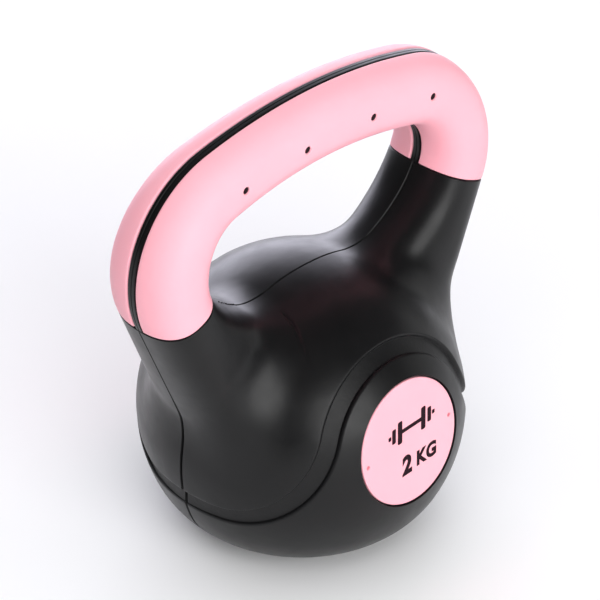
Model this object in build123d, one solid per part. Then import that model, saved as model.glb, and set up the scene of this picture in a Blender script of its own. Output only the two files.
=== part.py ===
from build123d import *
import os
from math import asin, cos, pi, radians, sin, sqrt

# A 2 kg kettlebell: a blow-moulded black shell filled with mortar, with two coloured grip
# covers on its handle and a round badge on its front and back. Units are millimetres, +Z is
# up, the handle spans X, the front faces -Y, and the origin is the middle of the flat base.

# Driving dimensions: the ball
BALL_RADIUS = 60.0
BALL_HEIGHT = 45.0           # centre of the ball above the base
BASE_EDGE_RADIUS = 34.0      # large rounding between the ball and its flat base
WALL = 3.0                   # wall of the moulded shell

# Driving dimensions: the handle's centre line, which lies in the plane y = 0
GRIP_HEIGHT = 164.4          # centre line at the middle of the bar
CROWN_RADIUS = 198.0         # gentle arch of the bar
CORNER_RADIUS = 29.5         # bend between the bar and a leg
CORNER_X = 40.3              # middle of that bend
LEG_LEAN = 23.3              # degrees that each leg leans outwards from vertical
LEG_LENGTH = 64.0            # from the end of the bend down into the ball
LEG_BLEND = 22.0             # rounding where a leg grows out of the ball
LEG_JOINT_TOP = 95.0         # the legs meet the ball below this height

# Driving dimensions: the handle's oval section, half sizes
GRIP_HALF_THICKNESS = 13.2   # in the plane of the handle
BAR_HALF_DEPTH = 14.3        # across that plane, at the middle of the bar
BEND_HALF_DEPTH = 15.4       # at the start of a bend
END_HALF_DEPTH = 18.6        # at the end of a grip cover
ROOT_HALF_DEPTH = 21.5       # at the root of a leg

# Driving dimensions: the grip covers and the pins that hold them to the handle's core
COVER_WALL = 2.4
RIB_WIDTH = 3.0              # black rib left showing between the two covers
COVER_PIN_RADIUS = 1.3
COVER_PIN_PLACES = ((-43.7, 160.6), (-13.7, 163.5), (18.5, 163.3), (47.7, 160.1))   # x and z
COVER_PIN_SINK = 0.5         # a pin's head below its cover's face
COVER_PIN_LENGTH = 7.5

# Driving dimensions: the badges, whose axes pass through the ball's centre
BADGE_RADIUS = 23.5
BADGE_THICKNESS = 1.6
BADGE_FACE = 54.4            # face of the badge from the ball's centre
BADGE_TILT = 10.5            # degrees that a badge looks upwards
BADGE_TURN = 3.0             # degrees that a badge is turned about its own axis
BADGE_GAP = 0.6              # gap round the badge in its pocket
BADGE_EDGE_RADIUS = 0.4
BADGE_PIN_RADIUS = 0.7
BADGE_PIN_REACH = 20.8       # from the middle of the badge
BADGE_PIN_LENGTH = 3.2

# Driving dimensions: the filling hole in the base and its plug
HOLE_RADIUS = 8.0
FLANGE_RADIUS = 11.0
FLANGE_THICKNESS = 1.2
PLUG_RECESS = 0.6            # the plug's face stays this far above the base
PLUG_LENGTH = 5.0

LOFT_STEPS = 6               # sections along the bar and along each bend
REACH = 400.0                # a cutting block larger than the whole object

# The bend's middle follows from its arc being tangent to the bar's arch.
arch_middle_z = GRIP_HEIGHT - CROWN_RADIUS
bend_start = asin(CORNER_X / (CROWN_RADIUS - CORNER_RADIUS))
bend_end = radians(90.0 + LEG_LEAN)
corner_z = arch_middle_z + (CROWN_RADIUS - CORNER_RADIUS) * cos(bend_start)
bend_end_x = CORNER_X + CORNER_RADIUS * sin(bend_end)
bend_end_z = corner_z + CORNER_RADIUS * cos(bend_end)


def oval(x, z, turn, half_depth, shrink):
    """A section of the handle where its centre line has turned from +X towards -Z."""
    plane = Plane(origin=(x, 0, z), x_dir=(0, 1, 0), z_dir=(cos(turn), 0, -sin(turn)))
    return plane * Ellipse(half_depth - shrink, GRIP_HALF_THICKNESS - shrink)


def bar_section(share, half_depth, shrink):
    """A section from the middle of the bar (share 0) to the start of the bend (share 1)."""
    turn = share * bend_start
    x = CROWN_RADIUS * sin(turn)
    z = arch_middle_z + CROWN_RADIUS * cos(turn)
    return oval(x, z, turn, half_depth, shrink)


def bend_section(share, half_depth, shrink):
    """A section from the start of the bend (share 0) to its end (share 1)."""
    turn = bend_start + share * (bend_end - bend_start)
    x = CORNER_X + CORNER_RADIUS * sin(turn)
    z = corner_z + CORNER_RADIUS * cos(turn)
    return oval(x, z, turn, half_depth, shrink)


def leg_section(share, half_depth, shrink):
    """A section from the end of the bend (share 0) to the root of the leg (share 1)."""
    x = bend_end_x - share * LEG_LENGTH * sin(radians(LEG_LEAN))
    z = bend_end_z - share * LEG_LENGTH * cos(radians(LEG_LEAN))
    return oval(x, z, bend_end, half_depth, shrink)


def ease(share):
    """Rises from 0 to 1 with level ends."""
    return share**2 * (3 - 2 * share)


def both_sides(half):
    """The half on +X joined to its mirror image."""
    return half + mirror(half, Plane.YZ)


def grip(shrink):
    """The bar with both bends, every face moved inwards by shrink."""
    bar = []
    bend = []
    for step in range(LOFT_STEPS + 1):
        share = step / LOFT_STEPS
        bar_depth = BAR_HALF_DEPTH + (BEND_HALF_DEPTH - BAR_HALF_DEPTH) * share**2
        bend_depth = BEND_HALF_DEPTH + (END_HALF_DEPTH - BEND_HALF_DEPTH) * ease(share)
        bar.append(bar_section(share, bar_depth, shrink))
        bend.append(bend_section(share, bend_depth, shrink))
    return both_sides(loft(bar) + loft(bend))


def legs(shrink):
    """Both legs, from the ends of the grip covers down into the ball."""
    sections = [
        leg_section(0.0, END_HALF_DEPTH, shrink),
        leg_section(1.0, ROOT_HALF_DEPTH, shrink),
    ]
    return both_sides(loft(sections))


def ball(shrink):
    """The ball with its rounded edge and flat base, every face moved inwards by shrink."""
    edge_x = sqrt((BALL_RADIUS - BASE_EDGE_RADIUS) ** 2 - (BALL_HEIGHT - BASE_EDGE_RADIUS) ** 2)
    join_turn = asin((BALL_HEIGHT - BASE_EDGE_RADIUS) / (BALL_RADIUS - BASE_EDGE_RADIUS))
    radius = BALL_RADIUS - shrink
    edge = BASE_EDGE_RADIUS - shrink
    middle_turn = (join_turn + pi / 2) / 2
    top = (0, BALL_HEIGHT + radius)
    side = (radius, BALL_HEIGHT)
    join = (radius * cos(join_turn), BALL_HEIGHT - radius * sin(join_turn))
    under = (edge_x + edge * cos(middle_turn), BASE_EDGE_RADIUS - edge * sin(middle_turn))
    foot = (edge_x, BASE_EDGE_RADIUS - edge)
    outline = [
        ThreePointArc(top, side, join),
        ThreePointArc(join, under, foot),
        Line(foot, (0, foot[1])),
        Line((0, foot[1]), top),
    ]
    profile = Plane.XZ * make_face(Wire(outline))
    return revolve(profile, Axis.Z)


def trunk(shrink):
    """The ball and both legs with a soft blend between them, moved inwards by shrink."""
    joined = ball(shrink) + legs(shrink)
    seams = joined.edges().filter_by(GeomType.BSPLINE)
    joints = seams.filter_by(lambda seam: seam.bounding_box().max.Z < LEG_JOINT_TOP)
    return fillet(joints, LEG_BLEND + shrink)


def badge_plane(side, distance):
    """The plane across a badge's axis; side is -1 for the front and 1 for the back."""
    lift = sin(radians(BADGE_TILT))
    out = cos(radians(BADGE_TILT))
    normal = Vector(0, side * out, lift)
    middle = Vector(0, 0, BALL_HEIGHT) + normal * distance
    plane = Plane(origin=middle, x_dir=(-side, 0, 0), z_dir=normal)
    return plane.rotated((0, 0, BADGE_TURN))


def disc(plane, radius, height):
    """A round block that starts on the plane and rises along its normal."""
    return extrude(plane * Circle(radius), height)


def half_space(side, start):
    """Everything past y = start on the given side."""
    return Pos(0, side * (start + REACH / 2), 0) * Box(REACH, REACH, REACH)


def cavity():
    """The inside of the shell, which the mortar fills."""
    hollow = trunk(WALL) + grip(COVER_WALL + WALL)
    for side in (-1, 1):
        floor = BADGE_FACE - BADGE_THICKNESS - WALL
        hollow -= disc(badge_plane(side, floor), BALL_RADIUS, BALL_RADIUS)
    return hollow


def plug():
    """The stepped plug that closes the filling hole."""
    flange = disc(Plane.XY.offset(PLUG_RECESS), FLANGE_RADIUS, FLANGE_THICKNESS)
    shank = disc(Plane.XY.offset(PLUG_RECESS), HOLE_RADIUS, PLUG_LENGTH)
    return flange + shank


def filling_hole():
    """The stepped hole in the base, open downwards."""
    return disc(Plane.XY, FLANGE_RADIUS, PLUG_RECESS + FLANGE_THICKNESS) + disc(
        Plane.XY, HOLE_RADIUS, PLUG_RECESS + PLUG_LENGTH
    )


def badge(side):
    """One badge, a disc with a softened front edge."""
    body = disc(badge_plane(side, BADGE_FACE - BADGE_THICKNESS), BADGE_RADIUS, BADGE_THICKNESS)
    front_edge = body.edges().sort_by(Axis.Y)[-1 if side > 0 else 0]
    return fillet(front_edge, BADGE_EDGE_RADIUS)


def badge_pins(side):
    """The two short pins that hold a badge, one near each end of its width."""
    plane = badge_plane(side, BADGE_FACE - BADGE_PIN_LENGTH)
    pins = [
        extrude(plane * Pos(reach, 0) * Circle(BADGE_PIN_RADIUS), BADGE_PIN_LENGTH)
        for reach in (-BADGE_PIN_REACH, BADGE_PIN_REACH)
    ]
    return pins


def cover_pin_rods(side, length):
    """Four round rods of this length, standing on the inner ends of one cover's pins."""
    rods = []
    for x, z in COVER_PIN_PLACES:
        share = min(1.0, asin(abs(x) / CROWN_RADIUS) / bend_start)
        face = BAR_HALF_DEPTH + (BEND_HALF_DEPTH - BAR_HALF_DEPTH) * share**2
        middle = face - COVER_PIN_SINK - COVER_PIN_LENGTH + length / 2
        rods.append(Pos(x, side * middle, z) * Rot(90, 0, 0) * Cylinder(COVER_PIN_RADIUS, length))
    return rods


def write(name, shape):
    """One STEP file for one named piece."""
    shape.label = name
    export_step(shape, f"parts/{name}.step")


def main():
    os.makedirs("parts", exist_ok=True)
    outer_grip = grip(0.0)
    core = grip(COVER_WALL)
    rib = outer_grip & Box(REACH, RIB_WIDTH, REACH * 2)
    shell = trunk(0.0) + core + rib
    hollow = cavity()
    shell -= hollow
    shell -= filling_hole()
    filler = hollow - filling_hole()

    for side, name in ((-1, "front"), (1, "rear")):
        pocket_floor = badge_plane(side, BADGE_FACE - BADGE_THICKNESS)
        shell -= disc(pocket_floor, BADGE_RADIUS + BADGE_GAP, BALL_RADIUS)
        studs = badge_pins(side)
        pins = cover_pin_rods(side, COVER_PIN_LENGTH)
        plate = badge(side)
        cover = (outer_grip - core) & half_space(side, RIB_WIDTH / 2)
        for stud in studs:
            shell -= stud
            plate -= stud
        for pin in pins:
            shell -= pin
            filler -= pin
        for hole in cover_pin_rods(side, BALL_RADIUS):
            cover -= hole
        write(f"{name}_badge", plate)
        write(f"{name}_badge_pins", Compound(studs))
        write(f"{name}_grip_cover", cover)
        write(f"{name}_cover_pins", Compound(pins))

    write("body_shell", shell)
    write("mortar_filler", filler)
    write("filler_plug", plug())


main()
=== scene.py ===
from math import acos, asin, cos, pi, radians, sin, sqrt, tan

import bmesh
import bpy
import numpy as np
from mathutils import Matrix, Vector


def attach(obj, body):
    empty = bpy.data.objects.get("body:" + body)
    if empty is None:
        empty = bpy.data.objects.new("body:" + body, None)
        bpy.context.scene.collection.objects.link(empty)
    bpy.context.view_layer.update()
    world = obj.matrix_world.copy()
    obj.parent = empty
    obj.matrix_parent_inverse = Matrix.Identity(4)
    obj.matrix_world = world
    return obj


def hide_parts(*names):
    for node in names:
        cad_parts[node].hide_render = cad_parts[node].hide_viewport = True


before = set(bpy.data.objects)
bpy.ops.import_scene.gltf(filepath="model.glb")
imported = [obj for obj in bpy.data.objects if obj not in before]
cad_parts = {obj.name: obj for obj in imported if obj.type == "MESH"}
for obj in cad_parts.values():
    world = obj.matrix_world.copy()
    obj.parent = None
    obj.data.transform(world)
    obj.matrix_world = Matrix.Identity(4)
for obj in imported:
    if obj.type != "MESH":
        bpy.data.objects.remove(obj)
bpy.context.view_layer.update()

# The looks of a 2 kg kettlebell, in millimetres until a mesh is made. +Z is up, the handle spans
# X, the front faces -Y, and the mould parted in the plane y = 0.
MM = 0.001

# The ball, from the CAD part
BALL_RADIUS = 60.0
BALL_HEIGHT = 45.0
BASE_EDGE_RADIUS = 34.0
BASE_FLAT = sqrt((BALL_RADIUS - BASE_EDGE_RADIUS) ** 2 - (BALL_HEIGHT - BASE_EDGE_RADIUS) ** 2)
CROWN_DIP = 1.2              # the ball's top is slightly flattened between the legs
CROWN_DIP_SPREAD = 18.0

# The handle's centre line, from the CAD part
GRIP_HEIGHT = 164.4
CROWN_RADIUS = 198.0
CORNER_RADIUS = 29.5
CORNER_X = 40.3
LEAN = radians(23.3)
LEG_LENGTH = 64.0
BEND_START = asin(CORNER_X / (CROWN_RADIUS - CORNER_RADIUS))
BEND_END = pi / 2 + LEAN
ARCH_MIDDLE_Z = GRIP_HEIGHT - CROWN_RADIUS
CORNER_Z = ARCH_MIDDLE_Z + (CROWN_RADIUS - CORNER_RADIUS) * cos(BEND_START)
BAR_LENGTH = CROWN_RADIUS * BEND_START
BEND_LENGTH = CORNER_RADIUS * (BEND_END - BEND_START)
GRIP_LENGTH = BAR_LENGTH + BEND_LENGTH          # from the bar's middle to the end of a cover
LEG_TOP_X = CORNER_X + CORNER_RADIUS * sin(BEND_END)
LEG_TOP_Z = CORNER_Z + CORNER_RADIUS * cos(BEND_END)
LEG_STUMP = 6.0              # the mesh of a leg starts this far above its end and is cut back

# The handle's oval section
OVAL_POWER = 2.45            # 2 is an ellipse, higher is squarer
HALF_THICKNESS = 13.2
BAR_HALF_DEPTH = 14.3
BEND_HALF_DEPTH = 15.4
END_HALF_DEPTH = 18.6
ROOT_HALF_DEPTH = 21.5

# Where the legs grow out of the ball
WEB_FLARE = 13.1             # how far a leg spreads towards the window, WEB_RUN down from its end
WEB_RUN = 30.0
BLEND_WINDOW = 6.7           # rounding between ball and leg on the leg's window side
BLEND_OUTSIDE = 4.9
BLEND_FRONT = 14.0
BLEND_FRONT_POWER = 0.75     # how quickly the front's rounding gives way to the other two

# The recessed band, in latitude and longitude on the ball's sphere. Longitude 0 is the front, and
# the band is mirrored left to right and front to back
BADGE_TILT = radians(10.5)
BAND_LOWER = {"round_badge": radians(32.0), "side": radians(-16.0), "turn": radians(40.1)}
BAND_UPPER = {"round_badge": radians(38.1), "side": radians(-10.3), "turn": radians(35.6)}
BAND_TURN_LONGITUDE = {"lower": radians(75.0), "upper": radians(76.8)}
BAND_DEPTH = {"lower": 1.6, "upper": 1.6}
BAND_SLOPE = {"lower": radians(82.0), "upper": radians(76.0)}
BAND_LIP = {"lower": 1.25, "upper": 0.9}      # rounding at the top of the band's walls
BAND_FOOT = {"lower": 0.25, "upper": 0.3}     # and at their foot
BAND_DEPTH_SIDE = 0.3        # share of the lower depth that is left at the sides of the ball
BAND_SIDE_START = 0.75       # and where that starts, as a share of the ball's radius in Y

# The badges
BADGE_RADIUS = 23.5
BADGE_THICKNESS = 1.9
BADGE_FACE = 54.7
BADGE_TURN = radians(3.0)
BADGE_GAP = 0.6
BADGE_PIN_RADIUS = 0.7
BADGE_PIN_REACH = 20.8
BADGE_PIN_LENGTH = 3.2
PRINT_HEIGHT = 0.05          # how far the print stands above the badge
PRINT_LEAN = 0.2
PRINT_WORDS = (("2", 9.5, -3.0, -8.3), ("KG", 7.3, 7.3, -8.6))     # size and middle
MARK_PLACE = (2.4, 5.3)

# The grip covers, the rib between them and their pins
COVER_WALL = 2.4
CORE_SINK = COVER_WALL + 0.05   # the handle's core lies this far below the covers' face
COVER_SEAM = 2.0             # edge of a cover from the plane y = 0
COVER_EDGE = 0.9             # rounding of that edge
COVER_END = 0.5              # rounding at the ends of a cover
RIB_HALF_WIDTH = 1.65
RIB_SINK = 0.2               # the rib's top lies this far below the covers
RING_GAP = 0.2               # half of the gap between a cover and the leg below it
RING_EDGE = 0.35
COVER_PIN_RADIUS = 1.3
COVER_PIN_PLACES = ((-43.7, 160.6), (-13.7, 163.5), (18.5, 163.3), (47.7, 160.1))   # X and Z
COVER_PIN_DEPTH = 8.0
COVER_PIN_SINK = 0.3         # a pin's head below the cover's face

# The filling hole in the base
HOLE_RADIUS = 8.0
FLANGE_RADIUS = 11.0
FLANGE_THICKNESS = 1.2
PLUG_RECESS = 0.6
PLUG_LENGTH = 5.0

CUTTER_HEIGHT = 3.0          # how far a cutting tool stands out of the body
NET_PITCH = 1.0              # size of the body's mesh
NET_HALF_X, NET_HALF_Y, NET_TOP = 86, 62, 136      # and its reach in cells
NET_LIFT = 0.37              # keeps its levels clear of the flat base
SOFT_REACH = 17.0            # the curvature is evened out this close to both the ball and a leg
SOFT_FADE = 4.0
PARTING_WIDTH = 0.4          # half width of the parting line
PARTING_DEPTH = 0.55
SADDLE_HEIGHT = 55.0         # above this, and within SADDLE_REACH of the middle, is the saddle
SADDLE_REACH = 45.0
PARTING_FADE = (-40.5, -32.0)   # between these X there, the line's depth drops to this share
PARTING_LEAST = 0.12
PARTING_BALL_SHARE = 1.7     # how much deeper the line gets below the waist
PARTING_BALL_WIDTH = 0.4     # and its width grows by this part of that
WAIST_HEIGHT = 82.0
WAIST_RUN = 12.0
FOLD_LINE = ((-21.9, -10.5, 99.6), (-22.3, -15.5, 98.4), (-23.2, -19.5, 96.6), (-24.6, -23.0, 94.6),
             (-27.4, -31.8, 87.8))   # a crease that the moulding left beside the left leg
FOLD_WIDTH = 0.7
FOLD_DEPTH = 0.85
FOLD_FADE = (0.12, 0.55)     # shares of its length over which the fold starts and ends
FOLD_FINE = 4.5              # the mesh is finer this close to the fold

NOISE_RANGE = (0.3, 0.7)     # a noise's usual lowest and highest values
FLOOR_SIZE = 6000.0
FLOOR_HEIGHT = -0.1          # just clear of the base
LIT_PLACE = (0, 0, 0.08)     # where the lights point, in metres


# ---- meshes

def add_object(name, mesh, material):
    """An object in the scene that shows a mesh in one material."""
    mesh.materials.append(material)
    made = bpy.data.objects.new(name, mesh)
    bpy.context.scene.collection.objects.link(made)
    return made


def make_object(name, points, faces, material):
    """A mesh object from points in millimetres."""
    mesh = bpy.data.meshes.new(name)
    mesh.from_pydata((np.asarray(points) * MM).tolist(), [], faces)
    mesh.validate()
    return add_object(name, mesh, material)


def grid_faces(rows, columns, close_rows=False, close_columns=True):
    """Quads of a grid of points that is stored row by row."""
    down = np.arange(rows if close_rows else rows - 1)
    across = np.arange(columns if close_columns else columns - 1)
    row, column = (part.ravel() for part in np.meshgrid(down, across, indexing="ij"))
    here, below = row * columns, (row + 1) % rows * columns
    beside = (column + 1) % columns
    return np.stack([here + column, here + beside, below + beside, below + column], axis=1)


def fan_faces(middle, first, count):
    """Triangles between a middle point and a ring of points."""
    return [(middle, first + step, first + (step + 1) % count) for step in range(count)]


def outward(made):
    """Turns every face of a closed mesh outwards."""
    shape = bmesh.new()
    shape.from_mesh(made.data)
    bmesh.ops.recalc_face_normals(shape, faces=shape.faces)
    shape.to_mesh(made.data)
    shape.free()
    return made


def lathe(name, outline, place, material, steps=144):
    """A solid of revolution from (radius, height) pairs that start and end on the axis."""
    turns = np.arange(steps) * 2 * pi / steps
    rings = outline[1:-1]
    points = [(0, 0, outline[0][1])]
    for radius, height in rings:
        points += [(radius * cos(turn), radius * sin(turn), height) for turn in turns]
    points.append((0, 0, outline[-1][1]))
    faces = (grid_faces(len(rings), steps) + 1).tolist()
    last = len(points) - 1
    faces += fan_faces(0, 1, steps) + fan_faces(last, last - steps, steps)
    return outward(make_object(name, [place @ Vector(point) for point in points], faces, material))


def evaluated_mesh(source):
    """A new mesh of an object with its modifiers applied, or of a text."""
    graph = bpy.context.evaluated_depsgraph_get()
    return bpy.data.meshes.new_from_object(source.evaluated_get(graph), depsgraph=graph)


def combine(target, tool, operation="DIFFERENCE"):
    """Cuts the tool out of the target, or joins it to the target."""
    before = len(target.data.vertices)
    modifier = target.modifiers.new("combine", "BOOLEAN")
    modifier.operation = operation
    modifier.solver = "MANIFOLD"
    modifier.material_mode = "TRANSFER"
    modifier.object = tool
    mesh = evaluated_mesh(target)
    target.modifiers.clear()
    target.data = mesh
    bpy.data.objects.remove(tool)
    if len(target.data.vertices) == before:
        raise RuntimeError(f"{target.name} wasn't changed by {operation}")
    return target


def join_parts(name, parts):
    """One finished piece from several."""
    made = parts[0]
    for part in parts[1:]:
        combine(made, part, "UNION")
    made.name = name
    return finish_surface(made)


def finish_surface(made, angle=32.0):
    """Smooth shading that stays crisp at edges sharper than the angle in degrees."""
    made.data.shade_smooth()
    made.data.set_sharp_from_angle(angle=radians(angle))
    return made


# ---- the body's surface

def ball_distance(x, y, z):
    """Distance from the ball with its rounded edge and flat base."""
    reach = np.sqrt(x * x + y * y)
    sphere = np.sqrt(reach * reach + (z - BALL_HEIGHT) ** 2) - BALL_RADIUS
    past = reach - BASE_FLAT
    edge = np.sqrt(past * past + (z - BASE_EDGE_RADIUS) ** 2) - BASE_EDGE_RADIUS
    slope = (BASE_EDGE_RADIUS - BALL_HEIGHT) / BASE_FLAT
    under = z < BALL_HEIGHT + slope * reach
    distance = np.where(under, np.where(past > 0, edge, -z), sphere)
    dip = CROWN_DIP * np.exp(-((reach / CROWN_DIP_SPREAD) ** 2))
    return distance + np.where(z > BALL_HEIGHT, dip, 0)


def leg_distance(x, y, z):
    """Distance from the nearer leg, and the place across it: 1 window side, -1 outside."""
    dx = np.abs(x) - LEG_TOP_X
    dz = z - LEG_TOP_Z
    down = -(dx * sin(LEAN) + dz * cos(LEAN))
    across = -(dx * cos(LEAN) - dz * sin(LEAN))
    share = np.clip(down / LEG_LENGTH, 0, 1)
    depth = END_HALF_DEPTH + (ROOT_HALF_DEPTH - END_HALF_DEPTH) * share
    flare = WEB_FLARE * np.clip(down / WEB_RUN, 0, 2) ** 2
    half = HALF_THICKNESS + np.where(across > 0, flare, 0)
    u = np.abs(across) / half
    v = np.abs(y) / depth
    level = (u**OVAL_POWER + v**OVAL_POWER) ** (1 / OVAL_POWER) + 1e-6
    slope_u = (u / level) ** (OVAL_POWER - 1) / half
    slope_v = (v / level) ** (OVAL_POWER - 1) / depth
    side = (level - 1) / np.sqrt(slope_u**2 + slope_v**2 + 1e-9)
    ends = np.maximum(down - LEG_LENGTH, -down - LEG_STUMP)
    turn = np.arctan2(np.abs(y) / ROOT_HALF_DEPTH, across / HALF_THICKNESS)
    return np.maximum(side, ends), np.cos(turn)


def body_distance(points):
    """Distance from the ball and both legs, softly blended."""
    x, y, z = points[..., 0], points[..., 1], points[..., 2]
    ball = ball_distance(x, y, z)
    leg, facing = leg_distance(x, y, z)
    window = np.clip(facing, 0, 1)
    outside = np.clip(-facing, 0, 1)
    front = (1 - facing**2) ** BLEND_FRONT_POWER
    ends = (BLEND_WINDOW * window + BLEND_OUTSIDE * outside) / np.maximum(window + outside, 1e-6)
    radius = ends + (BLEND_FRONT - ends) * front
    near_ball = np.maximum(radius - ball, 0)
    near_leg = np.maximum(radius - leg, 0)
    return np.maximum(radius, np.minimum(ball, leg)) - np.sqrt(near_ball**2 + near_leg**2)


def slope_of(points, step=0.05):
    """Gradient of the body's distance."""
    parts = []
    for axis in np.eye(3) * step:
        parts.append(body_distance(points + axis) - body_distance(points - axis))
    return np.stack(parts, axis=-1) / (2 * step)


def settle(points, flat, rounds=3):
    """Moves points onto the body's surface; the flat ones stay in the plane y = 0."""
    for _ in range(rounds):
        slope = slope_of(points)
        slope[flat, 1] = 0
        size = np.maximum((slope**2).sum(axis=1), 0.05)
        points = points - slope * (body_distance(points) / size)[:, None]
    return points


def surface_net(field, corner, pitch):
    """Quads round the zero level of a sampled field, with one point in each crossed cell."""
    inside = field < 0
    shifts = np.array([(a, b, c) for a in (0, 1) for b in (0, 1) for c in (0, 1)])
    count = sum(
        inside[a : a - 1 or None, b : b - 1 or None, c : c - 1 or None].astype(np.int8)
        for a, b, c in shifts
    )
    mixed = (count > 0) & (count < 8)
    cells = np.argwhere(mixed)
    index = np.full(mixed.shape, -1)
    index[mixed] = np.arange(len(cells))
    values = field[tuple((cells[:, None, :] + shifts[None]).transpose(2, 0, 1))]
    total = np.zeros((len(cells), 3))
    crossings = np.zeros(len(cells))
    for a in range(8):
        for b in range(a + 1, 8):
            if np.abs(shifts[a] - shifts[b]).sum() != 1:
                continue
            crossed = (values[:, a] < 0) != (values[:, b] < 0)
            drop = np.where(crossed, values[:, a] - values[:, b], 1)
            share = np.where(crossed, values[:, a] / drop, 0)
            total += crossed[:, None] * (shifts[a] + share[:, None] * (shifts[b] - shifts[a]))
            crossings += crossed
    points = corner + pitch * (cells + total / crossings[:, None])
    quads = []
    for axis in range(3):
        before = [slice(None)] * 3
        after = [slice(None)] * 3
        before[axis], after[axis] = slice(0, -1), slice(1, None)
        starts = np.argwhere(inside[tuple(before)] != inside[tuple(after)])
        one, two = (np.eye(3, dtype=int)[(axis + turn) % 3] for turn in (1, 2))
        quad = np.stack(
            [index[tuple((starts - shift).T)] for shift in (0 * one, one, one + two, two)], axis=1
        )
        leaving = inside[tuple(starts.T)]
        quads.append(np.where(leaving[:, None], quad, quad[:, ::-1]))
    return points, np.concatenate(quads)


def even_out(points, quads, flat, rounds=6, share=0.6):
    """Slides points along the surface until they are evenly spaced, by a share of the way each round."""
    for _ in range(rounds):
        normal = slope_of(points)
        normal /= np.linalg.norm(normal, axis=1, keepdims=True)
        move = neighbours_mean(points, quads) - points
        move -= normal * (move * normal).sum(axis=1, keepdims=True)
        points = points + share * move
        points[flat, 1] = 0
        points = settle(points, flat, 1)
    return points


def soften(points, quads, flat, rounds=16, share=0.5):
    """Evens out the curvature where the legs run into the ball."""
    x, y, z = points.T
    leg, _ = leg_distance(x, y, z)
    both = np.maximum(np.abs(leg), np.abs(ball_distance(x, y, z)))
    weight = share * np.clip((SOFT_REACH - both) / SOFT_FADE, 0, 1)[:, None]
    for _ in range(rounds):
        points = points + weight * (neighbours_mean(points, quads) - points)
        points[flat, 1] = 0
    return points


def neighbours_mean(points, quads):
    """The mean of each point's neighbours in the mesh."""
    starts, ends = quads.T.ravel(), np.roll(quads, -1, axis=1).T.ravel()
    count = len(points)
    degree = np.bincount(starts, minlength=count) + np.bincount(ends, minlength=count)
    mean = np.empty_like(points)
    for axis, column in enumerate(points.T):
        both = np.bincount(starts, column[ends], count)
        both += np.bincount(ends, column[starts], count)
        mean[:, axis] = both / degree
    return mean


def body_surface(material):
    """The outside of the ball and legs, with a row of points in the parting plane."""
    columns = [np.arange(-NET_HALF_X, NET_HALF_X + 1) * NET_PITCH]
    columns.append((np.arange(-NET_HALF_Y, NET_HALF_Y + 2) - 0.5) * NET_PITCH)
    columns.append(np.arange(-2, NET_TOP) * NET_PITCH + NET_LIFT)
    field = np.empty([len(column) for column in columns])
    for level, z in enumerate(columns[2]):
        x, y = np.meshgrid(columns[0], columns[1], indexing="ij")
        field[:, :, level] = body_distance(np.stack([x, y, np.full_like(x, z)], axis=-1))
    corner = np.array([column[0] for column in columns])
    points, quads = surface_net(field, corner, NET_PITCH)
    flat = np.abs(points[:, 1]) < NET_PITCH / 2
    points[flat, 1] = 0
    points = settle(points, flat)
    points = even_out(points, quads, flat)
    points = settle(points, flat)
    points = soften(points, quads, flat)
    return fold(make_object("kettlebell_shell", points, quads.tolist(), material))


def fold(body):
    """Finer mesh round the fold line, with a shallow crease that fades out along it."""
    line = np.array(FOLD_LINE)
    shape = bmesh.new()
    shape.from_mesh(body.data)
    reached, _ = fold_distance(line, vertex_places(shape))
    near = [edge for edge in shape.edges if max(reached[vertex.index] for vertex in edge.verts) < FOLD_FINE]
    bmesh.ops.subdivide_edges(shape, edges=near, cuts=2, smooth=1.0, use_grid_fill=True)
    shape.verts.ensure_lookup_table()
    reached, _ = fold_distance(line, vertex_places(shape))
    moved = np.flatnonzero(reached < FOLD_FINE + 1)
    points = vertex_places(shape)[moved]
    inwards = -slope_of(points)
    inwards /= np.linalg.norm(inwards, axis=1, keepdims=True)
    gap, along = fold_distance(line, points)
    fade = np.clip(along / FOLD_FADE[0], 0, 1) * np.clip((1 - along) / FOLD_FADE[1], 0, 1)
    depth = FOLD_DEPTH * fade * np.exp(-((gap / FOLD_WIDTH) ** 2))
    for index, place in zip(moved, points + inwards * depth[:, None]):
        shape.verts[index].co = Vector(place) * MM
    shape.to_mesh(body.data)
    shape.free()
    return body


def vertex_places(shape):
    """A mesh's points in millimetres."""
    return np.array([vertex.co for vertex in shape.verts]) / MM


def fold_distance(line, points):
    """Each point's distance from the fold line, and the share of the way along it."""
    start, way = line[:-1], np.diff(line, axis=0)
    from_start = points[:, None] - start
    share = np.clip((from_start * way).sum(axis=2) / (way**2).sum(axis=1), 0, 1)
    gap = np.linalg.norm(from_start - share[..., None] * way, axis=2)
    nearest = np.argmin(gap, axis=1)
    rows = np.arange(len(points))
    return gap[rows, nearest], (nearest + share[rows, nearest]) / len(way)


# ---- the handle's line and section

def centre_line(distance):
    """Place and turn of the handle's centre line at distances from the middle of the bar."""
    along = np.abs(distance)
    side = np.where(distance < 0, -1.0, 1.0)
    on_bar = along < BAR_LENGTH
    turn = np.where(on_bar, along / CROWN_RADIUS, BEND_START + (along - BAR_LENGTH) / CORNER_RADIUS)
    turn = np.minimum(turn, BEND_END)
    on_leg = np.maximum(along - GRIP_LENGTH, 0)
    radius = np.where(on_bar, CROWN_RADIUS, CORNER_RADIUS)
    x = np.where(on_bar, 0, CORNER_X) + radius * np.sin(turn)
    z = np.where(on_bar, ARCH_MIDDLE_Z, CORNER_Z) + radius * np.cos(turn)
    return side * (x - on_leg * sin(LEAN)), z - on_leg * cos(LEAN), side * turn


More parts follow.
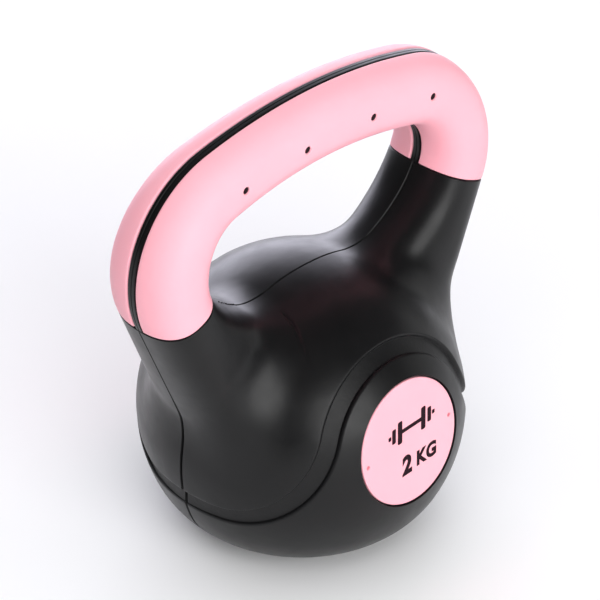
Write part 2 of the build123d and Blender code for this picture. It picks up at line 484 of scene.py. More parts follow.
def half_depth(distance):
    """Half of the handle's depth in Y at a distance from the middle of the bar."""
    along = np.abs(distance)
    on_bar = np.clip(along / BAR_LENGTH, 0, 1)
    on_bend = np.clip((along - BAR_LENGTH) / BEND_LENGTH, 0, 1)
    on_leg = np.clip((along - GRIP_LENGTH) / LEG_LENGTH, 0, 1)
    depth = BAR_HALF_DEPTH + (BEND_HALF_DEPTH - BAR_HALF_DEPTH) * on_bar**2
    depth = depth + (END_HALF_DEPTH - BEND_HALF_DEPTH) * on_bend**2 * (3 - 2 * on_bend)
    return depth + (ROOT_HALF_DEPTH - END_HALF_DEPTH) * on_leg


def oval(angle, depth):
    """Points (up, rear) of the section and their outward normals; angle 0 is the top."""
    c, s = np.cos(angle), np.sin(angle)
    power = 2 / OVAL_POWER
    up = HALF_THICKNESS * np.sign(c) * np.abs(c) ** power
    rear = depth * np.sign(s) * np.abs(s) ** power
    normal_up = np.sign(c) * np.abs(c) ** (2 - power) / HALF_THICKNESS
    normal_rear = np.sign(s) * np.abs(s) ** (2 - power) / depth
    size = np.sqrt(normal_up**2 + normal_rear**2)
    points = np.stack(np.broadcast_arrays(up, rear), axis=-1)
    return points, np.stack(np.broadcast_arrays(normal_up / size, normal_rear / size), axis=-1)


def angle_at(rear, inset, depth):
    """Angle at which the section, moved in by inset, is this far to the rear."""
    angles = np.linspace(1e-4, pi / 2, 600)
    points, normals = oval(angles[None, :], depth[:, None])
    reached = points[..., 1] - inset * normals[..., 1]
    return np.array([np.interp(rear, row, angles) for row in reached])


def even_angles(count):
    """Shares of the way round a half section that space its points evenly."""
    angles = np.linspace(0.12, pi - 0.12, 2000)
    points, _ = oval(angles, np.full_like(angles, BEND_HALF_DEPTH))
    length = np.concatenate([[0], np.cumsum(np.linalg.norm(np.diff(points, axis=0), axis=1))])
    spaced = np.interp(np.linspace(0, length[-1], count), length, angles)
    return (spaced - spaced[0]) / (spaced[-1] - spaced[0])


def in_space(line, section):
    """Section points (up, rear) at each place and turn of a line, in the part's frame."""
    x, z, turn = (part[:, None] for part in line)
    up, rear = section[..., 0], section[..., 1]
    return np.stack([x + up * np.sin(turn), rear, z + up * np.cos(turn)], axis=-1)


def stations(end, fine=1.0):
    """Distances along the handle, closer together in the bends."""
    bar = np.linspace(0, BAR_LENGTH, 40)[:-1]
    bend = np.linspace(BAR_LENGTH, end, int((end - BAR_LENGTH) / fine))
    half = np.concatenate([bar, bend])
    return np.concatenate([-half[:0:-1], half])


def capped_sweep(name, loops, cap, material):
    """A solid through closed loops, closed at both ends by quads of loop indices."""
    rows, columns = loops.shape[:2]
    faces = grid_faces(rows, columns)
    first = np.asarray(cap)
    last = first[:, ::-1] + (rows - 1) * columns
    faces = np.concatenate([faces, first, last]).tolist()
    return outward(make_object(name, loops.reshape(-1, 3), faces, material))


def fan_capped(name, loops, material):
    """A solid through closed loops, closed at both ends by a fan round a middle point."""
    rows, columns = loops.shape[:2]
    count = rows * columns
    points = [*loops.reshape(-1, 3), loops[0].mean(axis=0), loops[-1].mean(axis=0)]
    faces = grid_faces(rows, columns).tolist()
    faces += fan_faces(count, 0, columns) + fan_faces(count + 1, count - columns, columns)
    return outward(make_object(name, points, faces, material))


# ---- pieces on the handle

def grip_cover(side, name, material):
    """One cover: a half tube with rounded edges and four pin holes."""
    end = GRIP_LENGTH - RING_GAP
    distance = stations(end)
    rounding = end - COVER_END * (1 - np.sin(np.radians([0, 22, 45, 67])))
    inner = distance[np.abs(distance) < rounding[0] - 0.3]
    distance = np.concatenate([-rounding[::-1], inner, rounding])
    depth = half_depth(distance)
    sunk = COVER_END - np.abs(np.abs(distance) - end)
    trim = np.where(sunk > 0, COVER_END - np.sqrt(np.maximum(COVER_END**2 - sunk**2, 0)), 0)

    shares = even_angles(44)
    start = angle_at(COVER_SEAM + COVER_EDGE, COVER_EDGE, depth)
    angles = start[:, None] + (pi - 2 * start)[:, None] * shares
    outer, normals = oval(angles, depth[:, None])
    arc_steps = np.linspace(0, 1, 7)[:-1]
    corners = []
    corner_normals = []
    for column in (0, -1):
        middle = outer[:, column] - COVER_EDGE * normals[:, column]
        away = np.arctan2(normals[:, column, 0], normals[:, column, 1])
        facing = pi if column == 0 else -pi
        turn = facing + (away - facing)[:, None] * arc_steps
        direction = np.stack([np.sin(turn), np.cos(turn)], axis=-1)
        corners.append(middle[:, None] + COVER_EDGE * direction)
        corner_normals.append(direction)
    outer = np.concatenate([corners[0], outer, corners[1][:, ::-1]], axis=1)
    normals = np.concatenate([corner_normals[0], normals, corner_normals[1][:, ::-1]], axis=1)
    outer = outer - trim[:, None, None] * normals

    columns = outer.shape[1]
    start = angle_at(COVER_SEAM, COVER_WALL, depth)
    angles = start[:, None] + (pi - 2 * start)[:, None] * even_angles(columns)
    inner, normals = oval(angles, depth[:, None])
    inner = inner - COVER_WALL * normals
    section = np.concatenate([outer, inner[:, ::-1]], axis=1)
    section[..., 1] *= side
    cap = [(i, i + 1, 2 * columns - 2 - i, 2 * columns - 1 - i) for i in range(columns - 1)]
    cover = capped_sweep(name, in_space(centre_line(distance), section), cap, material)
    for x, z in COVER_PIN_PLACES:
        combine(cover, pin_hole(side, x, z, material))
    return finish_surface(cover, 38)


def pin_place(side, x, z):
    """A frame at a cover pin, with its Z pointing out of the cover."""
    along = np.arcsin(abs(x) / CROWN_RADIUS) * CROWN_RADIUS
    face = float(half_depth(np.array([along]))[0])
    return Matrix.Translation((x, side * face, z)) @ Matrix.Rotation(-side * pi / 2, 4, "X")


def pin_hole(side, x, z, material):
    """The hole for a cover pin, slightly wider at its mouth."""
    radius = COVER_PIN_RADIUS + 0.1
    outline = [(0, -COVER_PIN_DEPTH), (radius, -COVER_PIN_DEPTH), (radius, -0.3)]
    outline += [(radius + 0.06, -0.12), (radius + 0.2, 0.03), (radius + 0.45, 0.12)]
    outline += [(radius + 0.45, 4), (0, 4)]
    return lathe("pin_hole", outline, pin_place(side, x, z), material, 40)


def cover_pins(side, name, material):
    """Four domed pins, sunk into the cover."""
    top = -COVER_PIN_SINK
    outline = [(0, -COVER_PIN_DEPTH), (COVER_PIN_RADIUS, -COVER_PIN_DEPTH)]
    outline += [(COVER_PIN_RADIUS, top - 0.2), (0.9, top - 0.06), (0.6, top), (0, top)]
    pins = [lathe(name, outline, pin_place(side, x, z), material, 32) for x, z in COVER_PIN_PLACES]
    return join_parts(name, pins)


def handle_core(material):
    """The handle under the covers, with the rib that shows between them."""
    distance = stations(GRIP_LENGTH + 5.0, 1.3)
    depth = half_depth(distance)
    seam = [(-RIB_HALF_WIDTH, CORE_SINK), (-RIB_HALF_WIDTH, RIB_SINK + 0.3)]
    seam += [(-RIB_HALF_WIDTH + 0.09, RIB_SINK + 0.09), (-RIB_HALF_WIDTH + 0.3, RIB_SINK)]
    seam += [(-RIB_HALF_WIDTH + 0.36, RIB_SINK), (-0.24, RIB_SINK)]
    seam += [(0, RIB_SINK + 0.4), *((-rear, sink) for rear, sink in seam[::-1])]
    rear = np.array([place for place, _ in seam])
    sink = np.array([depth_in for _, depth_in in seam])
    level = (1 - (np.abs(rear) / depth[:, None]) ** OVAL_POWER) ** (1 / OVAL_POWER)
    up = HALF_THICKNESS * level - sink
    top = np.stack([up, np.broadcast_to(rear, up.shape)], axis=-1)
    bottom = top * [-1, 1]
    start = angle_at(RIB_HALF_WIDTH, CORE_SINK, depth)
    angles = start[:, None] + (pi - 2 * start)[:, None] * even_angles(26)[1:-1]
    side, normals = oval(angles, depth[:, None])
    side = side - CORE_SINK * normals
    section = np.concatenate([top, side, bottom[:, ::-1], (side * [1, -1])[:, ::-1]], axis=1)
    return fan_capped("handle_core", in_space(centre_line(distance), section), material)


# ---- cuts in the body

def leg_top_cutter(side, material):
    """What is cut away above a leg's end, leaving a small rounding round it."""
    steps = 160
    turn = np.linspace(0, 2 * pi, steps, endpoint=False)
    arc = np.radians(np.linspace(8, 90, 6))
    rows = [(8.0, RING_GAP)]
    rows += [(RING_EDGE * (1 - cos(a)), RING_GAP + RING_EDGE * (1 - sin(a))) for a in arc[::-1]]
    rows += [(-3.0, rows[-1][1]), (-3.0, -12.0), (8.0, -12.0)]
    distance = np.array([side * (GRIP_LENGTH + down) for _, down in rows])
    shape, normals = oval(turn[None, :], np.full((1, 1), END_HALF_DEPTH))
    inset = np.array([row[0] for row in rows])[:, None, None]
    section = shape - inset * normals
    return fan_capped("leg_top", in_space(leg_line(distance), section), material)


def leg_line(distance):
    """The leg's straight line, carried on above the end of the leg."""
    side = np.sign(distance)
    past = np.abs(distance) - GRIP_LENGTH
    return side * (LEG_TOP_X - past * sin(LEAN)), LEG_TOP_Z - past * cos(LEAN), side * BEND_END


def on_sphere(longitude, latitude):
    """Direction from the ball's centre; longitude 0 is the front, and +X is at 90 degrees."""
    level = np.cos(latitude)
    up = np.sin(latitude) * np.ones_like(longitude)
    return np.stack([np.sin(longitude) * level, -np.cos(longitude) * level, up], axis=-1)


def circle_points(centre, radius, first, last, count):
    """Directions on a circle round a centre direction, from above one direction to another."""
    def bearing(direction):
        flat = direction - centre * (direction @ centre)
        return flat / np.linalg.norm(flat)

    start, finish = bearing(first), bearing(last)
    angle = acos(np.clip(start @ finish, -1, 1))
    share = np.linspace(0, 1, count)[:, None]
    way = (np.sin((1 - share) * angle) * start + np.sin(share * angle) * finish) / sin(angle)
    return cos(radius) * centre + sin(radius) * way


def band_edge(edge, turn_longitude):
    """A quarter of one edge of the band, from above the front badge to the middle of the side."""
    badge = on_sphere(np.array(0.0), BADGE_TILT)
    turn_latitude = edge["side"] + edge["turn"]
    corner = on_sphere(np.array(turn_longitude), turn_latitude)
    up, down = np.array([0.0, 0.0, 1.0]), np.array([0.0, 0.0, -1.0])
    over = circle_points(badge, edge["round_badge"], up, corner, 44)
    round_turn = circle_points(corner, edge["turn"], badge, down, 52)
    along = np.linspace(turn_longitude, pi / 2, 16)
    level = on_sphere(along, edge["side"])
    return np.concatenate([over[:-1], round_turn[:-1], level])


def whole_ring(quarter):
    """A quarter mirrored to the whole way round the ball."""
    rear = (quarter * [1, -1, 1])[::-1][1:]
    rear_left = (quarter * [-1, -1, 1])[1:]
    left = (quarter * [-1, 1, 1])[::-1][1:-1]
    return np.concatenate([quarter, rear, rear_left, left])


def reach_of(directions):
    """Distance from the ball's centre to the body's surface in these directions."""
    centre = np.array([0, 0, BALL_HEIGHT])
    reach = np.full(directions.shape[:-1], BALL_RADIUS)
    for _ in range(6):
        reach = reach - body_distance(centre + directions * reach[..., None])
    return reach


def band_step(edge):
    """A step down into the band: distance into the band and height above the ball."""
    slope, lip, foot = BAND_SLOPE[edge], BAND_LIP[edge], BAND_FOOT[edge]
    turns = np.linspace(0, slope, 7)
    top = [(lip * sin(turn), 0.01 - lip * (1 - cos(turn))) for turn in turns]
    bottom = [(-foot * sin(turn), foot * (1 - cos(turn)) - BAND_DEPTH[edge]) for turn in turns[::-1]]
    wall = (top[-1][1] - bottom[0][1]) / tan(slope)
    top = [(place - top[-1][0] - wall / 2, height) for place, height in top]
    bottom = [(place - bottom[0][0] + wall / 2, height) for place, height in bottom]
    return top + bottom


def band_cutter(material):
    """The solid that is cut out of the body to leave the recessed band."""
    upper = whole_ring(band_edge(BAND_UPPER, BAND_TURN_LONGITUDE["upper"]))
    lower = whole_ring(band_edge(BAND_LOWER, BAND_TURN_LONGITUDE["lower"]))
    width = BALL_RADIUS * np.arccos((upper * lower).sum(axis=1))
    upper_step, lower_step = band_step("upper"), band_step("lower")
    upper_step, lower_step = (upper_step[0], *upper_step), (lower_step[0], *lower_step)[::-1]
    across = [np.full_like(width, place) for place, _ in upper_step]
    across += [width - place for place, _ in lower_step]
    across = np.stack(across, axis=1)
    height = np.tile([level for _, level in upper_step + lower_step], (len(width), 1))
    at_side = np.clip(1 - np.abs(lower[:, 1]) / BAND_SIDE_START, 0, 1)
    left = 1 - (1 - BAND_DEPTH_SIDE) * at_side[:, None]
    below = height[:, len(upper_step) :]
    height[:, len(upper_step) :] = np.where(below < 0, below * left, below)
    height[:, [0, -1]] = CUTTER_HEIGHT
    angle = (width / BALL_RADIUS)[:, None, None]
    share = (across / BALL_RADIUS)[..., None]
    direction = np.sin(angle - share) * upper[:, None] + np.sin(share) * lower[:, None]
    direction = direction / np.sin(angle)
    reach = reach_of(direction) + height
    points = np.array([0, 0, BALL_HEIGHT]) + direction * reach[..., None]
    rows, columns = points.shape[:2]
    faces = grid_faces(rows, columns, close_rows=True).tolist()
    return outward(make_object("band", points.reshape(-1, 3), faces, material))


def badge_place(side):
    """A frame on a badge's axis, at the ball's centre, with Z outwards and Y up the badge."""
    normal = Vector((0, side * cos(BADGE_TILT), sin(BADGE_TILT)))
    right = Vector((-side, 0, 0))
    axes = Matrix((right, normal.cross(right), normal)).transposed().to_4x4()
    return Matrix.Translation((0, 0, BALL_HEIGHT)) @ axes @ Matrix.Rotation(BADGE_TURN, 4, "Z")


def pocket_cutter(side, material):
    """The round pocket for a badge, with a rounded rim."""
    radius = BADGE_RADIUS + BADGE_GAP
    rim = sqrt(BALL_RADIUS**2 - radius**2)
    outline = [(0, BADGE_FACE - BADGE_THICKNESS), (radius, BADGE_FACE - BADGE_THICKNESS)]
    outline += [(radius, rim - 0.35), (radius + 0.06, rim - 0.17), (radius + 0.2, rim - 0.05)]
    outline += [(radius + 0.42, rim), (radius + 0.42, 70), (0, 70)]
    return lathe("pocket", outline, badge_place(side), material)


def filling_hole_cutter(material):
    """The stepped hole in the base."""
    step = PLUG_RECESS + FLANGE_THICKNESS
    outline = [(0, PLUG_RECESS + PLUG_LENGTH), (HOLE_RADIUS, PLUG_RECESS + PLUG_LENGTH), (HOLE_RADIUS, step)]
    outline += [(FLANGE_RADIUS, step), (FLANGE_RADIUS, 0.3), (FLANGE_RADIUS + 0.1, 0.1)]
    outline += [(FLANGE_RADIUS + 0.4, -0.1), (FLANGE_RADIUS + 0.4, -3), (0, -3)]
    return lathe("filling_hole", outline, Matrix.Identity(4), material, 96)


def parting_line(body):
    """A fine V groove round the body where the two halves of the mould met."""
    shape = bmesh.new()
    shape.from_mesh(body.data)
    for side in (-1, 0, 1):
        bmesh.ops.bisect_plane(
            shape,
            geom=shape.verts[:] + shape.edges[:] + shape.faces[:],
            dist=1e-7,
            plane_co=(0, side * PARTING_WIDTH * MM, 0),
            plane_no=(0, 1, 0),
        )
    shape.normal_update()
    moves = []
    for vertex in shape.verts:
        if abs(vertex.co.y) < 1e-7:
            inwards = Vector((-vertex.normal.x, 0, -vertex.normal.z))
            depth = PARTING_DEPTH * parting_share(vertex.co)
            if inwards.length > 0.5:
                moves.append((vertex, inwards.normalized() * depth * MM))
    for vertex, move in moves:
        vertex.co += move
    for vertex in shape.verts:
        if abs(abs(vertex.co.y) - PARTING_WIDTH * MM) < 1e-7:
            vertex.co.y *= max(1.0, 1 + PARTING_BALL_WIDTH * (parting_share(vertex.co) - 1))
    shape.to_mesh(body.data)
    shape.free()
    return body


def parting_share(place):
    """How deep the line is here: deeper round the ball, and fading at the left end of the saddle."""
    x, z = place.x / MM, place.z / MM
    if abs(x) > SADDLE_REACH or z < SADDLE_HEIGHT:
        return 1 + PARTING_BALL_SHARE * min(1.0, max(0.0, (WAIST_HEIGHT - z) / WAIST_RUN))
    start, end = PARTING_FADE
    return min(1.0, max(PARTING_LEAST, (x - start) / (end - start)))


def flash_marks(material):
    """Specks of mould flash beside the parting line at the left end of the saddle."""
    draw = np.random.default_rng(7)
    marks = []
    for x in np.linspace(-41.5, -33.5, 11):
        radius = draw.uniform(0.22, 0.4)
        offset = draw.uniform(-0.35, 0.35)
        low, high = 90.0, 125.0
        for _ in range(30):
            middle = (low + high) / 2
            inside = body_distance(np.array([x, offset, middle])) < 0
            low, high = (middle, high) if inside else (low, middle)
        outline = [(0, -0.5), (radius, -0.5), (radius, 0.05), (radius * 0.7, 0.3), (0, 0.38)]
        slope = slope_of(np.array([[x, offset, low]]))[0]
        axis = Vector(slope).to_track_quat("Z", "Y").to_matrix().to_4x4()
        marks.append(lathe("flash", outline, Matrix.Translation((x, offset, low)) @ axis, material, 10))
    return marks


def shell(plain, rough):
    """The whole moulded body as one piece."""
    body = body_surface(plain)
    for tool in (leg_top_cutter(-1, plain), leg_top_cutter(1, plain), band_cutter(rough)):
        combine(body, tool)
    parting_line(body)
    for tool in (pocket_cutter(-1, plain), pocket_cutter(1, plain), filling_hole_cutter(plain)):
        combine(body, tool)
    for mark in flash_marks(plain):
        combine(body, mark, "UNION")
    combine(body, handle_core(plain), "UNION")
    return finish_surface(body)


# ---- badges and plug

def print_shape(corners, place, material):
    """A flat shape in raised print from its corners (x, y)."""
    count = len(corners)
    points = [place @ Vector((x, y, level)) for level in (-PRINT_HEIGHT, PRINT_HEIGHT) for x, y in corners]
    faces = grid_faces(2, count).tolist()
    faces += [list(range(count))[::-1], list(range(count, 2 * count))]
    return outward(make_object("mark", points, faces, material))


def rounded_box(x, y, width, height, radius, lean=0.0):
    """Corners of an upright rounded rectangle round (x, y), sheared by lean."""
    corners = []
    for quarter, (sx, sy) in enumerate(((1, 1), (-1, 1), (-1, -1), (1, -1))):
        for step in range(5):
            turn = (quarter + step / 4) * pi / 2
            px = sx * (width / 2 - radius) + radius * cos(turn)
            py = sy * (height / 2 - radius) + radius * sin(turn)
            corners.append((x + px + lean * py, y + py))
    return corners


def print_text(words, size, place, material):
    """Words in raised print, bold and leaning, centred on a place."""
    curve = bpy.data.curves.new("print", "FONT")
    curve.body = words
    curve.size = size
    curve.shear = PRINT_LEAN
    curve.offset = 0.048 * size
    curve.space_character = 1.08
    curve.extrude = PRINT_HEIGHT
    curve.resolution_u = 6
    source = bpy.data.objects.new("print", curve)
    bpy.context.scene.collection.objects.link(source)
    mesh = evaluated_mesh(source)
    bpy.data.objects.remove(source)
    shape = bmesh.new()
    shape.from_mesh(mesh)
    bmesh.ops.remove_doubles(shape, verts=shape.verts, dist=1e-4)
    shape.to_mesh(mesh)
    shape.free()
    corners = np.array([vertex.co for vertex in mesh.vertices])
    middle = (corners.min(axis=0) + corners.max(axis=0)) / 2
    mesh.transform(Matrix.Scale(MM, 4) @ place @ Matrix.Translation((-middle[0], -middle[1], 0)))
    mesh.materials.clear()
    return outward(add_object("print", mesh, material))


def dumbbell_mark(place, material):
    """A plain dumbbell sign made of a bar and two plates at each end."""
    parts = [rounded_box(0, 0, 14.0, 1.5, 0.3, PRINT_LEAN)]
    for side in (-1, 1):
        parts.append(rounded_box(side * 6.0, 0, 2.3, 8.4, 0.6, PRINT_LEAN))
        parts.append(rounded_box(side * 9.1, 0, 1.9, 5.4, 0.5, PRINT_LEAN))
        parts.append(rounded_box(side * 11.2, 0, 1.4, 1.5, 0.3, PRINT_LEAN))
    return [print_shape(part, place, material) for part in parts]


def badge(side, name, colour, ink):
    """One badge with a softened edge, its pin holes and its print."""
    edge = 0.4
    foot = BADGE_FACE - BADGE_THICKNESS
    outline = [(0, foot), (BADGE_RADIUS - 0.2, foot), (BADGE_RADIUS, foot + 0.2)]
    outline += [(BADGE_RADIUS, BADGE_FACE - edge)]
    for turn in np.radians((15, 30, 45, 60, 75, 90)):
        outline.append((BADGE_RADIUS - edge * (1 - cos(turn)), BADGE_FACE - edge * (1 - sin(turn))))
    outline += [(BADGE_RADIUS - 1.2, BADGE_FACE), (12.0, BADGE_FACE), (0, BADGE_FACE)]
    place = badge_place(side)
    plate = lathe(name, outline, place, colour, 160)
    for reach in (-BADGE_PIN_REACH, BADGE_PIN_REACH):
        hole = [(0, 40), (BADGE_PIN_RADIUS + 0.06, 40), (BADGE_PIN_RADIUS + 0.06, BADGE_FACE - 0.15)]
        hole += [(BADGE_PIN_RADIUS + 0.2, BADGE_FACE + 0.02), (BADGE_PIN_RADIUS + 0.2, 60), (0, 60)]
        combine(plate, lathe("hole", hole, place @ Matrix.Translation((reach, 0, 0)), colour, 28))
    face = place @ Matrix.Translation((0, 0, BADGE_FACE))
    for words, size, x, y in PRINT_WORDS:
        combine(plate, print_text(words, size, face @ Matrix.Translation((x, y, 0)), ink), "UNION")
    for part in dumbbell_mark(face @ Matrix.Translation((*MARK_PLACE, 0)), ink):
        combine(plate, part, "UNION")
    return finish_surface(plate)


def badge_pins(side, name, material):
    """The two small pins of a badge."""
    top = BADGE_FACE - 0.12
    foot = BADGE_FACE - BADGE_PIN_LENGTH
    radius = BADGE_PIN_RADIUS - 0.02
    outline = [(0, foot), (radius, foot), (radius, top - 0.15)]
    outline += [(BADGE_PIN_RADIUS - 0.2, top - 0.02), (0.25, top + 0.02), (0, top + 0.03)]
    pins = []
    for reach in (-BADGE_PIN_REACH, BADGE_PIN_REACH):
        place = badge_place(side) @ Matrix.Translation((reach, 0, 0))
        pins.append(lathe(name, outline, place, material, 24))
    return join_parts(name, pins)


def filler_plug(material):
    """The plug in the base, with a turned ring and a moulding point."""
    low = PLUG_RECESS
    outline = [(0, low + 0.35), (0.9, low + 0.35), (1.3, low + 0.05), (6.2, low + 0.02), (6.4, low + 0.3)]
    outline += [(7.0, low + 0.3), (7.2, low + 0.02), (10.4, low), (10.75, low + 0.12), (10.85, low + 0.4)]
    outline += [(10.85, low + FLANGE_THICKNESS - 0.02), (HOLE_RADIUS - 0.05, low + FLANGE_THICKNESS - 0.02)]
    outline += [(HOLE_RADIUS - 0.05, low + PLUG_LENGTH - 0.4), (HOLE_RADIUS - 0.45, low + PLUG_LENGTH)]
    outline += [(0, low + PLUG_LENGTH)]
    return finish_surface(lathe("plug", outline, Matrix.Identity(4), material, 96))


# ---- materials

def set_sockets(node, values):
    """Sets a node's sockets to plain values."""
    for socket, value in values.items():
        node.inputs[socket].default_value = value


def new_material(name, colour, roughness, specular=0.5):
    """A material with its shader's plain values set."""
    material = bpy.data.materials.new(name)
    material.use_nodes = True
    values = {"Base Color": (*colour, 1), "Roughness": roughness, "Specular IOR Level": specular}
    set_sockets(material.node_tree.nodes["Principled BSDF"], values)
    return material


def add_noise(material, scale, detail=4.0, roughness=0.55, stretch=None):
    """A noise in the part's own coordinates; scale counts features per metre."""
    tree = material.node_tree
    place = tree.nodes.new("ShaderNodeTexCoord").outputs["Object"]
    if stretch:
        mapping = tree.nodes.new("ShaderNodeMapping")
        set_sockets(mapping, {"Scale": stretch})
        tree.links.new(place, mapping.inputs["Vector"])
        place = mapping.outputs["Vector"]
    noise = tree.nodes.new("ShaderNodeTexNoise")
    set_sockets(noise, {"Scale": scale, "Detail": detail, "Roughness": roughness})
    tree.links.new(place, noise.inputs["Vector"])
    return noise.outputs["Fac"]


def mottle(material, value, dark, light):
    """A base colour that goes from dark to light with a value."""
    node = material.node_tree.nodes.new("ShaderNodeValToRGB")
    for stop, place, colour in zip(node.color_ramp.elements, NOISE_RANGE, (dark, light)):
        stop.position = place
        stop.color = (*colour, 1)
    material.node_tree.links.new(value, node.inputs["Fac"])
    link(material, node.outputs["Color"], "Base Color")


def spread(material, value, low, high):
    """A noise made to run between low and high."""
    node = material.node_tree.nodes.new("ShaderNodeMapRange")
    least, most = NOISE_RANGE
    set_sockets(node, {"From Min": least, "From Max": most, "To Min": low, "To Max": high})
    material.node_tree.links.new(value, node.inputs["Value"])
    return node.outputs["Result"]


def bump(material, layers):
    """Stacked bumps from (value, height in millimetres) pairs."""
    tree = material.node_tree
    shader = tree.nodes["Principled BSDF"]
    before = None
    for value, height in layers:
        node = tree.nodes.new("ShaderNodeBump")
        set_sockets(node, {"Strength": 1.0, "Distance": height * MM})
        tree.links.new(value, node.inputs["Height"])
        if before:
            tree.links.new(before, node.inputs["Normal"])
        before = node.outputs["Normal"]
    tree.links.new(before, shader.inputs["Normal"])


def link(material, value, socket):
    """A value or colour that drives one of the shader's sockets."""
    material.node_tree.links.new(value, material.node_tree.nodes["Principled BSDF"].inputs[socket])


def black_plastic(name, roughness, grain):
    """Blow-moulded black polyethylene: faintly waxy, with fine grain and slow waves."""
    material = new_material(name, (0.004, 0.004, 0.0043), roughness, 0.3)
    cloud = add_noise(material, 35.0, 3.0)
    fine = add_noise(material, 900.0, 4.0)
    mottle(material, cloud, (0.003, 0.003, 0.0032), (0.005, 0.005, 0.0055))
    uneven = add_noise(material, 120.0, 6.0)
    link(material, spread(material, uneven, roughness - 0.04, roughness + 0.05), "Roughness")
    streak = add_noise(material, 500.0, 3.0, stretch=(1.0, 1.0, 0.07))
    bump(material, [(cloud, 0.25), (fine, grain), (streak, 0.012)])
    return material


def pink_plastic(name):
    """Pale pink satin plastic."""
    material = new_material(name, (1.0, 0.45, 0.53), 0.45, 0.16)
    cloud = add_noise(material, 40.0, 3.0)
    fine = add_noise(material, 1100.0, 3.0)
    mottle(material, cloud, (0.985, 0.445, 0.52), (1.0, 0.465, 0.54))
    link(material, spread(material, add_noise(material, 150.0, 5.0), 0.4, 0.5), "Roughness")
    glow = {"Weight": 0.12, "Radius": (1.0, 0.4, 0.4), "Scale": 1.2 * MM}
    shader = material.node_tree.nodes["Principled BSDF"]
    set_sockets(shader, {f"Subsurface {part}": value for part, value in glow.items()})
    bump(material, [(cloud, 0.1), (fine, 0.006)])
    return material


def small_part(name, colour, roughness, specular=0.3):
    """A small moulded part with a fine grain."""
    material = new_material(name, colour, roughness, specular)
    fine = add_noise(material, 1500.0, 3.0)
    light = tuple(min(1.0, part * 1.15 + 0.002) for part in colour)
    mottle(material, fine, colour, light)
    bump(material, [(fine, 0.01)])
    return material


def mortar():
    """Grey cement mortar with sand grains."""
    material = new_material("mortar", (0.3, 0.29, 0.27), 0.95, 0.2)
    grain = add_noise(material, 500.0, 8.0, 0.7)
    mottle(material, grain, (0.2, 0.19, 0.18), (0.42, 0.4, 0.37))
    bump(material, [(grain, 0.4)])
    return material


# ---- floor, light and camera

def floor():
    """A plain pale floor."""
    material = new_material("floor", (0.93, 0.93, 0.94), 0.7, 0.2)
    cloud = add_noise(material, 2.0, 2.0)
    mottle(material, cloud, (0.92, 0.92, 0.93), (0.94, 0.94, 0.945))
    ways = ((-1, -1), (1, -1), (1, 1), (-1, 1))
    corners = [(x * FLOOR_SIZE, y * FLOOR_SIZE, FLOOR_HEIGHT) for x, y in ways]
    made = make_object("floor", corners, [(0, 1, 2, 3)], material)


def softbox(name, place, size, power, colour=(1, 1, 1), matt=False):
    """A rectangular area light that faces the object; a matt one doesn't show in gloss."""
    light = bpy.data.lights.new(name, "AREA")
    light.shape = "RECTANGLE"
    light.size, light.size_y = size
    light.energy = power
    light.color = colour
    made = bpy.data.objects.new(name, light)
    made.location = place
    made.rotation_euler = (Vector(LIT_PLACE) - Vector(place)).to_track_quat("-Z", "Y").to_euler()
    made.visible_glossy = not matt
    bpy.context.scene.collection.objects.link(made)


def lighting():
    """Three softboxes that show in the gloss, two matt ones for plain light, and a dim world."""
    world = bpy.data.worlds.new("studio")
    world.use_nodes = True
    background = world.node_tree.nodes["Background"]
    set_sockets(background, {"Color": (0.97, 0.98, 1.0, 1), "Strength": 0.11})
    bpy.context.scene.world = world
    softbox("rear_right", light_place(150, 11, 1.2), (1.4, 0.75), 15.0, (0.88, 0.87, 1.0))
    softbox("front", light_place(-12, 19, 1.2), (0.95, 0.7), 8.8)
    softbox("right", light_place(68, 10, 1.2), (0.9, 0.6), 1.2)
    softbox("overhead_fill", (0, 0, 1.6), (2.4, 2.4), 18.5, matt=True)
    softbox("front_fill", light_place(-45, 35, 1.6), (1.6, 1.6), 12.0, matt=True)
    bpy.context.scene.view_settings.view_transform = "Standard"


def light_place(azimuth, elevation, distance):
    """A place round the object; azimuth 0 is in front and 90 on +X."""
    turn, rise = radians(azimuth), radians(elevation)
    level = distance * cos(rise)
    return (level * sin(turn), -level * cos(turn), distance * sin(rise) + LIT_PLACE[2])


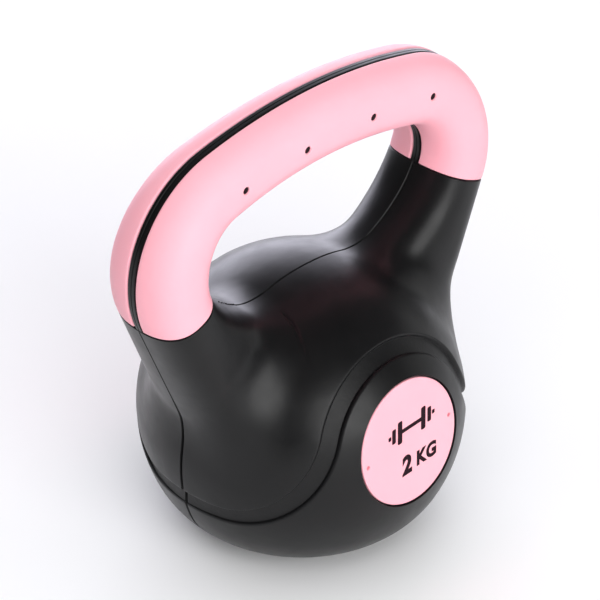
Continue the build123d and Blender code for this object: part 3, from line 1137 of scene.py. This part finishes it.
def camera():
    """A long lens at the height and side of a catalogue picture."""
    azimuth, elevation, roll = radians(-45.63), radians(33.99), radians(1.18)
    distance = 1222.0
    target = Vector((-3.42, -1.84, 91.29))
    back = Vector((sin(azimuth) * cos(elevation), -cos(azimuth) * cos(elevation), sin(elevation)))
    level = Vector((cos(azimuth), sin(azimuth), 0))
    up = back.cross(level)
    right = level * cos(roll) + up * sin(roll)
    axes = Matrix((right, back.cross(right), back)).transposed().to_4x4()
    data = bpy.data.cameras.new("camera")
    data.lens = 206.3
    data.sensor_width = 36.0
    data.clip_start, data.clip_end = 0.05, 50.0
    made = bpy.data.objects.new("camera", data)
    made.matrix_world = Matrix.Translation((target + back * distance) * MM) @ axes
    bpy.context.scene.collection.objects.link(made)
    bpy.context.scene.camera = made


# ---- the kettlebell

def show(made, slot, *nodes):
    """A finished piece takes the place of its CAD nodes."""
    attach(made, "root")
    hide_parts(*nodes)


black = black_plastic("black_shell", 0.33, 0.008)
black_rough = black_plastic("black_band", 0.45, 0.06)
pink = pink_plastic("pink_grip")
pink_badge = pink_plastic("pink_badge")
ink = small_part("black_ink", (0.014, 0.004, 0.008), 0.6, 0.1)
pin_black = small_part("pin_black", (0.012, 0.004, 0.006), 0.6, 0.1)
# Badge pins: pink parts whose darker pink is painted shade, standing in for the shade round a pin sunk in
# its hole
pin_pink_painted_shade = small_part("pin_pink_painted_shade", (0.62, 0.16, 0.2), 0.5)
plug_black = small_part("plug_black", (0.014, 0.014, 0.015), 0.5)

show(shell(black, black_rough), "black_shell", "body_shell")
for side, end in ((-1, "front"), (1, "rear")):
    show(grip_cover(side, f"{end}_cover", pink), "pink_grip", f"{end}_grip_cover")
    show(cover_pins(side, f"{end}_pins", pin_black), "cover_pin", f"{end}_cover_pins")
    show(badge(side, f"{end}_badge_plate", pink_badge, ink), "pink_badge", f"{end}_badge")
    show(badge_pins(side, f"{end}_badge_studs", pin_pink_painted_shade), "badge_pin", f"{end}_badge_pins")
show(filler_plug(plug_black), "plug", "filler_plug")
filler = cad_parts["mortar_filler"]
filler.data.materials.clear()
filler.data.materials.append(mortar())

floor()
lighting()
camera()
